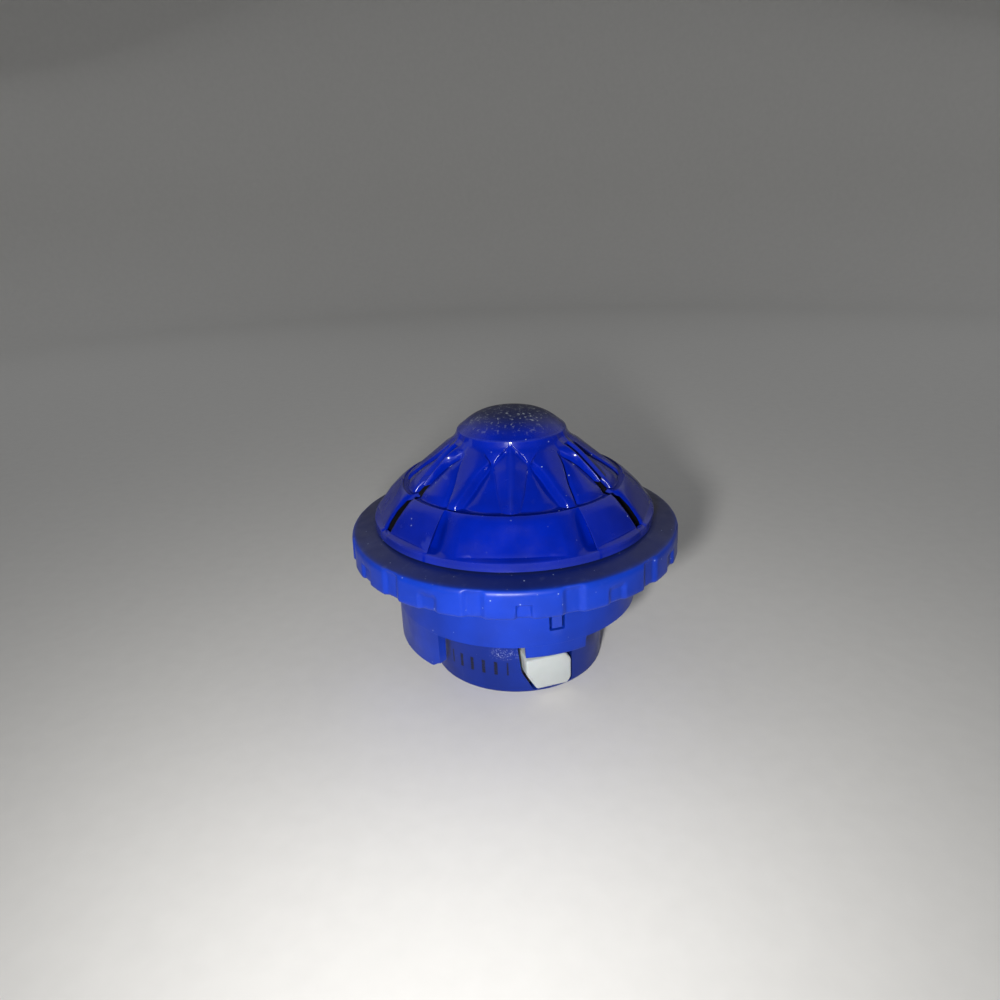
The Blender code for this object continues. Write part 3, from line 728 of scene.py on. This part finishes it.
def slot_shade_rib(index):
    azimuth = 60 + THIRDS[index]
    bm = combined(across(TRAY_RIB, 1.2, azimuth), "UNION", [across(GUIDE_RIB, SLOT_HALF - 0.05, azimuth)])
    return finished(f"slot_shade_rib_{index + 1}", bm, "tip", [], slot_shade_black)


def screw_hole(azimuth):
    hole = revolved([(0, 17.2), (0.6, 17.2), (0.6, 14.8), (0, 14.8)], 20)
    bmesh.ops.remove_doubles(hole, verts=hole.verts, dist=1e-5)
    bmesh.ops.translate(hole, verts=hole.verts, vec=polar(10.2, azimuth, 0))
    bmesh.ops.recalc_face_normals(hole, faces=hole.faces)
    return hole


def panel_ring():
    bm = lattice(full_circle(panel_sections()))
    bosses = [prism(box_outline(1.3, 15.02, 17.6), 8.2, 11.6, a) for a in THIRDS]
    bm = combined(bm, "UNION", bosses)
    pockets = [across(SLOT_POCKET, 1.35, 60 + a) for a in THIRDS]
    bm = combined(bm, "DIFFERENCE", pockets)
    slots = [prism(box_outline(PANEL_SLOT_HALF, 16.95, 21.0), 7.0, 15.2, 60 + a) for a in THIRDS]
    bm = combined(bm, "DIFFERENCE", slots + [screw_hole(a) for a in THIRDS])
    return finished("panel_ring_shell", bm, "tip", ["panel_ring"], deep_blue)


# Rim ring: an outer wall with tall notches and short pockets by turns, and three arch marks


def notch_depth(azimuth, height):
    """How far the rim's outer wall is set in: an arch mark, a tall notch or a short pocket."""
    index = round((azimuth - MARK_AZIMUTH) / NOTCH_PITCH)
    off = abs(azimuth - MARK_AZIMUTH - index * NOTCH_PITCH)
    if index % 8 == 0:
        half = 2.45 - 0.4 * smooth(height, 13.0, 14.2)
        depth = 0.30 * (1 - smooth(off, half - 0.3, half + 0.3)) * (1 - smooth(height, 14.0, 14.22))
    elif index % 2:
        depth = 0.30 * (1 - smooth(off, 1.9, 3.9)) * (1 - smooth(height, 15.0, 15.5))
    else:
        depth = 0.25 * (1 - smooth(off, 1.9, 3.7)) * (1 - smooth(height, 14.0, 14.7))
    return float(depth)


def rim_sections():
    low, top, r = RIM_LOW, RIM_TOP, RIM_RADIUS
    wall = [(r - 0.36, low), (r - 0.17, low + 0.04), (r - 0.06, low + 0.14), (r - 0.02, low + 0.3)]
    heights = [13.3, 13.5, 13.8, 13.95, 14.05, 14.12, 14.18, 14.24, 14.3, 14.4, 14.5, 14.6, 14.8, 15.0]
    wall += [(r - 0.02 - 0.03 * (h - 13), h) for h in heights]
    wall += [(r - 0.11, 15.14), (r - 0.16, 15.26), (r - 0.24, 15.37), (r - 0.34, 15.45), (r - 0.46, 15.51)]
    deck = [(r - 0.7, 15.58), (r - 1.1, 15.68), (r - 1.6, 15.80), (14.6, top - 0.05)]
    deck += [(14.35, top), (12.0, 15.72)]
    under = [(12.0, 14.9), (13.6, 14.9), (13.6, 13.2)]
    gutter = [(14.2, low), (14.3, 14.6), (15.5, 14.6), (15.6, low)]
    entries = [a - LOCK_TURN for a in LOCK_LUGS]
    sections = []
    for azimuth in np.arange(0, 360, 0.5):
        near = min(abs((azimuth - e + 180) % 360 - 180) for e in entries)
        bore = 13.62 if near < 7.2 else 12.8
        outer = [(x - notch_depth(azimuth, z), z) for x, z in wall]
        points = np.array(outer + deck + under + [(bore, 13.2), (bore, low)] + gutter)
        sections.append(polar(points[:, 0], azimuth, points[:, 1]))
    return sections


def rim_ring():
    return finished("rim_ring_shell", lattice(rim_sections()), "tip", ["rim_ring"], rim_blue)


# Hub: tube, shoulder and skirt, with aprons and hooked tabs below the shoulder


def drop_height(azimuth):
    """Lowest height of the outer wall at an azimuth."""
    height = SHOULDER_Z
    for middle, half, low in (APRON, TAB):
        off = (azimuth - middle + 90) % 180 - 90
        share = 1 - smooth(abs(off), half - 0.15, half + 0.15)
        corner = 0
        if middle == TAB[0]:
            corner = 0.6 * smooth(off, half - 5.5, half) + 0.9 * smooth(-off, half - 9, half)
        height = min(height, float(SHOULDER_Z - share * (SHOULDER_Z - low - corner)))
    return height


def hub_sections():
    azimuths = [k * 1.0 for k in range(360)]
    for middle, half, _ in (APRON, TAB):
        for turn in HALVES:
            for side in (-half, half):
                azimuths += [(middle + turn + side + d) % 360 for d in (-0.3, -0.15, -0.05, 0.05, 0.15, 0.3)]
    sections = []
    for azimuth in sorted(set(azimuths)):
        low = drop_height(azimuth)
        deep = smooth(SHOULDER_Z - low, 0.02, 0.5)
        face = SKIRT_RADIUS - 0.07 * deep
        outer = [(11.2, 13.85, 0.05), (12.38, SKIRT_TOP, 0.08), (SKIRT_RADIUS, 7.9, 0.3)]
        outer += [(SKIRT_RADIUS, SHOULDER_Z, 0.12), (face, SHOULDER_Z - 0.02, 0.03), (face, low - 0.03, 0.12)]
        outer += [(11.45, low - 0.03, 0.08), (11.45, SHOULDER_Z - 0.01, 0.05)]
        tube = [(9.15, SHOULDER_Z, 0.12), (9.0, 0.2, 0.15), (8.86, 0.0, 0.12)]
        inner = [(7.78, 0.0, 0.08), (7.7, 0.15, 0.05), (7.7, 8.7, 0.05), (11.2, 8.7, 0.1)]
        points = rounded(outer + tube + inner, steps=3, closed=True)
        sections.append(polar(points[:, 0], azimuth, points[:, 1]))
    return sections


def groove_outline():
    """The U of the click mark on the skirt."""
    wide, thin, low, high = 0.75, 0.49, 8.9, 12.0
    left = [(-wide, high), (-wide, low + 0.12), (-wide + 0.12, low), (wide - 0.12, low), (wide, low + 0.12)]
    return left + [(wide, high), (thin, high), (thin, low + 0.26), (-thin, low + 0.26), (-thin, high)]


def bayonet_lug(azimuth):
    """A short curved block on the skirt's top edge that holds the rim ring."""
    radii, heights = np.array([11.8, 13.3, 13.3, 11.8]), np.array([13.45, 13.45, 13.85, 13.85])
    bm = bmesh.new()
    rows = [[bm.verts.new(p) for p in polar(radii, azimuth + d, heights)] for d in range(-6, 7, 2)]
    for row, after in zip(rows, rows[1:]):
        for i in range(4):
            bm.faces.new((row[i], row[(i + 1) % 4], after[(i + 1) % 4], after[i]))
    bm.faces.new(rows[0])
    bm.faces.new(rows[-1][::-1])
    bmesh.ops.recalc_face_normals(bm, faces=bm.faces)
    return bm


def hub_body():
    window = [(-3.4, 9.0), (-2.62, 2.4), (-1.5, 0.3), (2.75, 0.3), (2.75, 9.0)]
    bm = combined(lattice(hub_sections()), "UNION", [bayonet_lug(a) for a in LOCK_LUGS])
    cuts = [prism(window, 6.8, 10.0, LATCH_AZIMUTH + a) for a in HALVES]
    cuts += [prism(groove_outline(), 11.75, 13.0, APRON[0] + a) for a in HALVES]
    bm = combined(bm, "DIFFERENCE", cuts)
    return finished("hub_shell", bm, "hub", ["hub_body"], hub_material)


# Latch


def latch_carrier():
    top, low = LATCH_TOP, LATCH_LOW
    ring = rounded([(4.7, top, 0.15), (7.3, top, 0.15), (7.3, 1.1, 0.15), (4.7, 1.1, 0.15)], closed=True)
    bm = revolved(ring, 96)
    bmesh.ops.recalc_face_normals(bm, faces=bm.faces)
    outline = [(-2.33, top), (1.85, top), (2.42, 3.3), (2.42, 1.1), (2.0, low), (-1.25, low), (-2.3, 2.3)]
    lugs = [prism(outline, 6.6, 9.35, LATCH_AZIMUTH + a, bevel=0.24) for a in HALVES]
    bm = combined(bm, "UNION", lugs)
    return finished("latch_carrier_shell", bm, "latch", ["latch_carrier"], latch_white, sharp=50)


# Springs: round wire wound into a helix whose end turns lie flat

SPRING_WIRE = {"latch_spring": 0.2, "switch_spring": 0.08}


def coil(node, axis, turns):
    """The wire of a spring that fills its CAD node's box, wound along an axis."""
    low, high = (np.array(corner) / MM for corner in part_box(node))
    centre = (low + high) / 2
    wire = SPRING_WIRE[node]
    radius = (high - low)[(axis + 1) % 3] / 2 - wire
    length = high[axis] - low[axis] - 2 * wire
    steps, sides = turns * 40, 10
    bm = bmesh.new()
    rings = []
    for k in range(steps + 1):
        share = k / steps
        turn = 2 * math.pi * turns * share
        flat = 1.0 / turns
        along = length * float(np.clip((share - 0.6 * flat) / (1 - 1.2 * flat), 0, 1))
        spoke = np.array([math.cos(turn), math.sin(turn), 0])
        ring = []
        for m in range(sides):
            angle = 2 * math.pi * m / sides
            point = spoke * (radius + wire * math.cos(angle)) + np.array([0, 0, wire * math.sin(angle)])
            point[2] += along - length / 2
            ring.append(bm.verts.new(centre + np.roll(point, (axis + 1) % 3)))
        rings.append(ring)
    for ring, after in zip(rings, rings[1:]):
        for m in range(sides):
            n = (m + 1) % sides
            bm.faces.new((ring[m], ring[n], after[n], after[m]))
    bm.faces.new(rings[0][::-1])
    bm.faces.new(rings[-1])
    return bm, centre


def coil_spring(node, axis, turns, body):
    bm, centre = coil(node, axis, turns)
    piece = finished(f"{node}_coil", bm, body, [node], steel)
    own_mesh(piece)


petal_dome()
tip_cap()
panel_ring()
rim_ring()
hub_body()
latch_carrier()
for rib in range(3):
    slot_shade_rib(rib)
coil_spring("latch_spring", 2, 6, "hub")
coil_spring("switch_spring", 0, 7, "tip")

# Inner parts keep their CAD shapes and get real finishes

INNER = {
    black_plastic: ["hub_deck", "battery_tray", "control_chip"],
    steel: ["cap_screw"]
    + [f"{name}_{k}" for name in ("deck_screw", "tray_screw", "button_cell") for k in (1, 2, 3)],
    brass: ["lower_contact", "upper_contact", "switch_weight"],
    clear: ["light_guide", "led_1", "led_2", "led_3"],
    latch_white: ["switch_housing"],
    board_mask(): ["light_board"],
}
for material, names in INNER.items():
    for name in names:
        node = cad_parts[name]
        node.data.materials.clear()
        node.data.materials.append(material)


# Stage, light and camera


FLOOR_GAP = 0.02
STAGE_BEND, STAGE_RADIUS, STAGE_TOP = 50, 340, 420
BEND_STEPS, ROUND_STEPS = 12, 72


def backdrop():
    """A pale round floor that sweeps up into a wall all the way round."""
    pale = simple("stage_pale", (0.70, 0.695, 0.68), 0.75, spread=0.015, grain=900, strength=0.05)
    foot = STAGE_RADIUS - STAGE_BEND
    angles = [math.radians(90 * k / BEND_STEPS) for k in range(1, BEND_STEPS + 1)]
    profile = [(0, 0), (foot, 0)]
    profile += [(foot + STAGE_BEND * math.sin(a), STAGE_BEND - STAGE_BEND * math.cos(a)) for a in angles]
    profile = np.array(profile + [(STAGE_RADIUS, STAGE_TOP)]) - (0, FLOOR_GAP)
    bm = bmesh.new()
    rows = []
    for k in range(ROUND_STEPS):
        points = polar(profile[:, 0], 360 * k / ROUND_STEPS, profile[:, 1])
        rows.append([bm.verts.new(p) for p in points])
    for row, after in zip(rows, rows[1:] + rows[:1]):
        for i in range(len(profile) - 1):
            bm.faces.new((row[i], row[i + 1], after[i + 1], after[i]))
    bmesh.ops.remove_doubles(bm, verts=bm.verts, dist=1e-4)
    bm.transform(Matrix.Scale(MM, 4))
    item = as_object(bm, "stage_floor")
    item.data.materials.append(pale)
    item.data.shade_smooth()


def lamp(name, place, target, size, power, colour):
    data = bpy.data.lights.new(name, "AREA")
    data.shape = "DISK"
    data.size = size
    data.energy = power
    data.color = colour
    item = bpy.data.objects.new(name, data)
    bpy.context.scene.collection.objects.link(item)
    item.location = place
    item.rotation_euler = (Vector(target) - Vector(place)).to_track_quat("-Z", "Y").to_euler()


CAMERA_PLACE = (0.001885, -0.07195, 0.04535)
CAMERA_PITCH, CAMERA_YAW, CAMERA_ROLL = 0.37206, -0.04563, -0.03855
CAMERA_LENS = 27.03


def camera():
    """The close view of the reference: 72 mm in front, 45 mm up, looking 21 degrees down."""
    flat = math.cos(CAMERA_PITCH)
    forward = Vector((math.sin(CAMERA_YAW) * flat, math.cos(CAMERA_YAW) * flat, -math.sin(CAMERA_PITCH)))
    right = Vector((math.cos(CAMERA_YAW), -math.sin(CAMERA_YAW), 0))
    up = right.cross(forward)
    turned_right = math.cos(CAMERA_ROLL) * right + math.sin(CAMERA_ROLL) * up
    turned_up = math.cos(CAMERA_ROLL) * up - math.sin(CAMERA_ROLL) * right
    data = bpy.data.cameras.new("camera")
    data.sensor_width = 36
    data.lens = CAMERA_LENS
    data.clip_start = 0.005
    item = bpy.data.objects.new("camera", data)
    bpy.context.scene.collection.objects.link(item)
    axes = Matrix((turned_right, turned_up, -forward)).transposed().to_4x4()
    item.matrix_world = Matrix.Translation(CAMERA_PLACE) @ axes
    bpy.context.scene.camera = item


def studio_air(colour, strength):
    world = bpy.data.worlds.new("studio")
    world.use_nodes = True
    background = world.node_tree.nodes["Background"]
    background.inputs[0].default_value = (*colour, 1)
    background.inputs[1].default_value = strength
    bpy.context.scene.world = world


KEY_PLACE, KEY_TARGET = (-0.0072, -0.0740, 0.0375), (0, 0, 0.058)
KEY_SIZE, KEY_POWER = 0.008, 0.096
REAR_TARGET = (0, 0, 0.014)
REAR_SIZE, REAR_POWER = 0.30, 0.10

backdrop()
camera()
lamp("key", KEY_PLACE, KEY_TARGET, KEY_SIZE, KEY_POWER, (1.0, 0.985, 0.96))
for side in (-1, 1):
    lamp(f"rear_{side}", (0.17 * side, 0.16, 0.22), REAR_TARGET, REAR_SIZE, REAR_POWER, (0.98, 0.99, 1.0))
studio_air((0.9, 0.93, 1.0), 0.06)
bpy.context.scene.view_settings.view_transform = "Standard"
